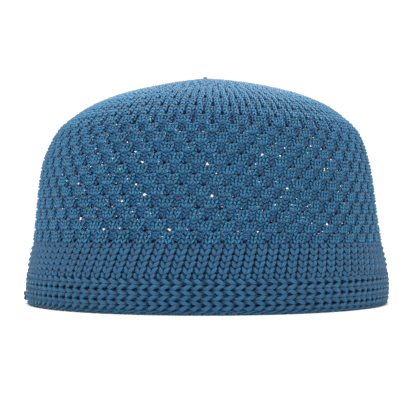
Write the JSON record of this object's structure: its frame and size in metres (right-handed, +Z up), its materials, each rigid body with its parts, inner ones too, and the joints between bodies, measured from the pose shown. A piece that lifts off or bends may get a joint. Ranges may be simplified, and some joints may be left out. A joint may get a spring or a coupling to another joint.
{
  "type": "knit kufi cap",
  "caption": "Soft brimless knitted cap with upright sides, a low rounded top in open staggered rib knit, a plain knit band and a chain-stitched hem.",
  "frame": {"origin": "middle of the lower edge, on the surface that the cap stands on", "axes": "+Z up through the top of the cap, +X to the cap's right in the picture and along its longer side, -Y towards the viewer"},
  "size_m": [0.182, 0.16, 0.1115],
  "materials": {
    "crown_knit": "fine smooth blue yarn with a soft sheen, in an open rib knit",
    "band_knit": "thicker smooth blue yarn, in plain knit",
    "hem_knit": "thick smooth blue yarn, in rows of chain stitches",
    "edge_yarn": "thin twisted blue cord"
  },
  "bodies": {
    "root": {"crown": "crown_knit", "band": "band_knit", "hem": "hem_knit", "edge_cord": "edge_yarn"}
  },
  "joints": []
}
